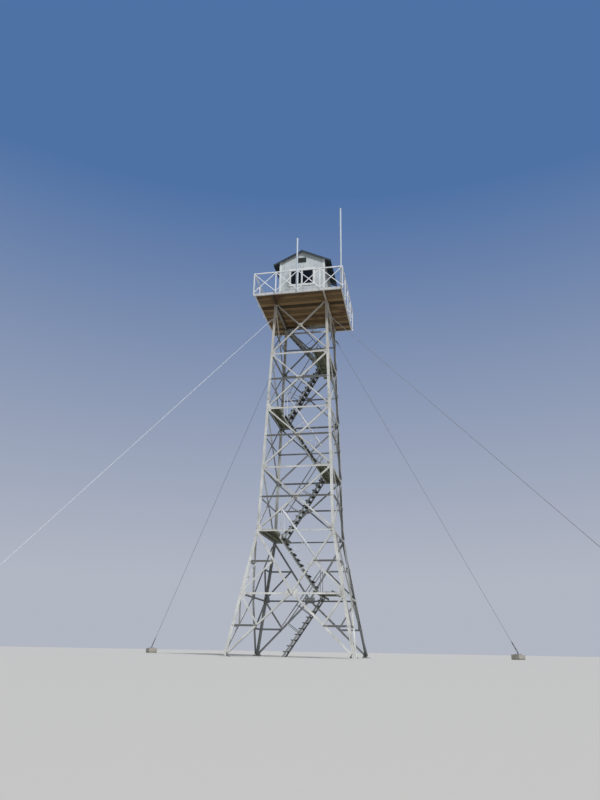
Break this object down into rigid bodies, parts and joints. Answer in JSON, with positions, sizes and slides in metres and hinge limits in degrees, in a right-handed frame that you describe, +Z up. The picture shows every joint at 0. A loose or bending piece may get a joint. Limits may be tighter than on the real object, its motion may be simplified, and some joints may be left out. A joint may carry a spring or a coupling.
{
  "type": "guyed lattice lookout tower",
  "caption": "Tapering steel lattice lookout tower with a zigzag stair inside, a railed square platform, a small gabled cabin, two masts and wire-rope guys to ground anchors.",
  "frame": {"origin": "on the ground at the centre of the tower", "axes": "+Z up, -Y is the front with the cabin's window, +X to the right seen from the front"},
  "size_m": [23.8354, 23.8354, 20.96],
  "materials": {
    "leg_paint": "weathered satin",
    "brace_paint": "weathered satin",
    "stair_paint": "weathered satin",
    "landing_steel": "weathered matte",
    "joist_paint": "weathered matte",
    "edge_paint": "weathered satin",
    "deck_wood": "bare weathered",
    "rail_paint": "weathered satin",
    "cabin_boards": "weathered white paint",
    "door_boards": "weathered paint",
    "roof_sheet": "matte",
    "window_paint": "weathered white paint",
    "window_panes": "dark glass",
    "mast_paint": "satin",
    "guy_rope": "galvanised",
    "anchor_steel": "galvanised",
    "anchor_concrete": "rough concrete"
  },
  "bodies": {
    "root": {"anchor_blocks": "anchor_concrete", "anchor_plates": "anchor_steel", "cabin_door": "door_boards", "cabin_wall_front": "cabin_boards", "cabin_wall_left": "cabin_boards", "cabin_wall_rear": "cabin_boards", "cabin_wall_right": "cabin_boards", "corner_mast": "mast_paint", "deck_planks": "deck_wood", "front_mast": "mast_paint", "guy_front_left": "guy_rope", "guy_front_right": "guy_rope", "guy_rear_left": "guy_rope", "guy_rear_right": "guy_rope", "landing_1": "landing_steel", "landing_2": "landing_steel", "landing_3": "landing_steel", "landing_4": "landing_steel", "landing_5": "landing_steel", "leg_front_left": "leg_paint", "leg_front_right": "leg_paint", "leg_rear_left": "leg_paint", "leg_rear_right": "leg_paint", "lower_bracing_front": "brace_paint", "lower_bracing_left": "brace_paint", "lower_bracing_rear": "brace_paint", "lower_bracing_right": "brace_paint", "platform_edges": "edge_paint", "platform_joists": "joist_paint", "railing_front": "rail_paint", "railing_left": "rail_paint", "railing_rear": "rail_paint", "railing_right": "rail_paint", "roof_left": "roof_sheet", "roof_right": "roof_sheet", "stair_flight_1": "stair_paint", "stair_flight_2": "stair_paint", "stair_flight_3": "stair_paint", "stair_flight_4": "stair_paint", "stair_flight_5": "stair_paint", "stair_flight_6": "stair_paint", "upper_bracing_front": "brace_paint", "upper_bracing_left": "brace_paint", "upper_bracing_rear": "brace_paint", "upper_bracing_right": "brace_paint", "window_frame": "window_paint", "window_glass": "window_panes"}
  },
  "joints": []
}
